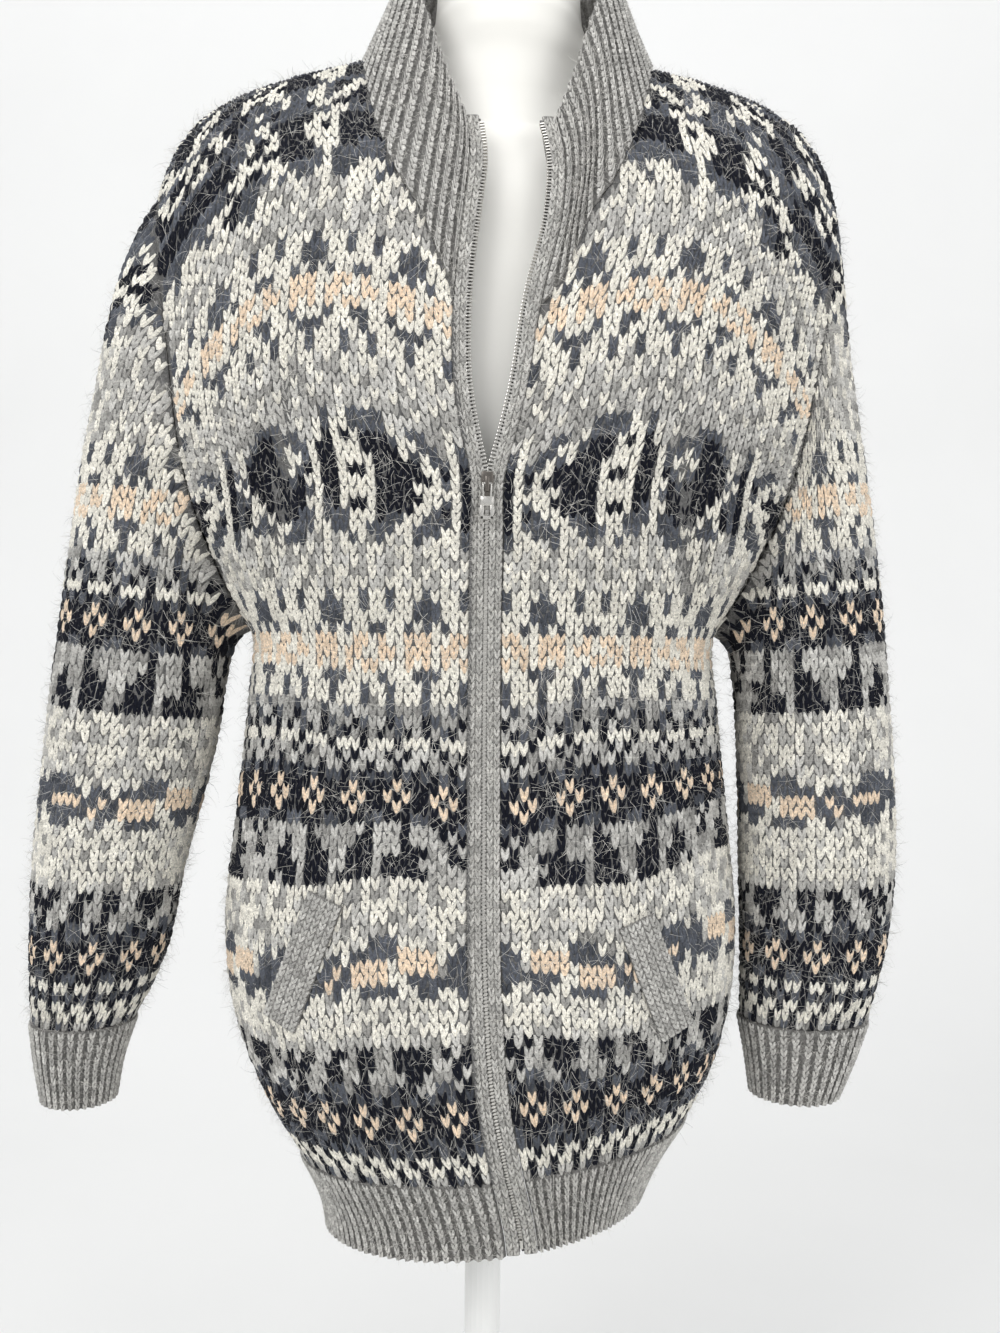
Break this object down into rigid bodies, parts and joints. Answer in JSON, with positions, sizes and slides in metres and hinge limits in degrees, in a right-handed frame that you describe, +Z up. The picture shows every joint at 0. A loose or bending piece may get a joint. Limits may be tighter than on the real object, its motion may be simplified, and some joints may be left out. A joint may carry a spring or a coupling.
{
  "type": "fair isle cardigan on a dress form",
  "caption": "Fair isle knit zip cardigan with a ribbed funnel collar, cuffs and hem, worn by a limbless dress form on a round stand.",
  "frame": {"origin": "middle of the underside of the stand's round base", "axes": "+Z up, the cardigan's front faces -Y, and the wearer's left is +X"},
  "size_m": [0.6016, 0.32, 1.2],
  "materials": {
    "fair_isle_knit": "fuzzy stranded knit in cream, grey, slate, navy and peach",
    "rib_knit": "fuzzy heather grey knit",
    "zip_tape": "woven",
    "zip_metal": "polished",
    "form_skin": "satin",
    "stand": "white paint"
  },
  "bodies": {
    "cardigan_and_form": {"right_front": "fair_isle_knit", "left_front": "fair_isle_knit", "back": "fair_isle_knit", "right_sleeve": "fair_isle_knit", "left_sleeve": "fair_isle_knit", "right_front_hem": "rib_knit", "left_front_hem": "rib_knit", "back_hem": "rib_knit", "right_cuff": "rib_knit", "left_cuff": "rib_knit", "collar": "rib_knit", "right_zip_band": "rib_knit", "left_zip_band": "rib_knit", "right_pocket_welt": "rib_knit", "left_pocket_welt": "rib_knit", "right_zip_tape": "zip_tape", "left_zip_tape": "zip_tape", "zip_slider": "zip_metal", "zip_bottom_stop": "zip_metal", "form_torso": "form_skin", "form_pole": "stand", "form_base": "stand"},
    "zip_pull": {"zip_pull": "zip_metal"}
  },
  "joints": [
    {"name": "zip_pull_swing", "type": "hinge", "parent": "cardigan_and_form", "child": "zip_pull", "pos_m": [-0.0029, -0.1387, 0.7901], "axis": [-1, 0, 0], "range_deg": [0, 150]}
  ]
}
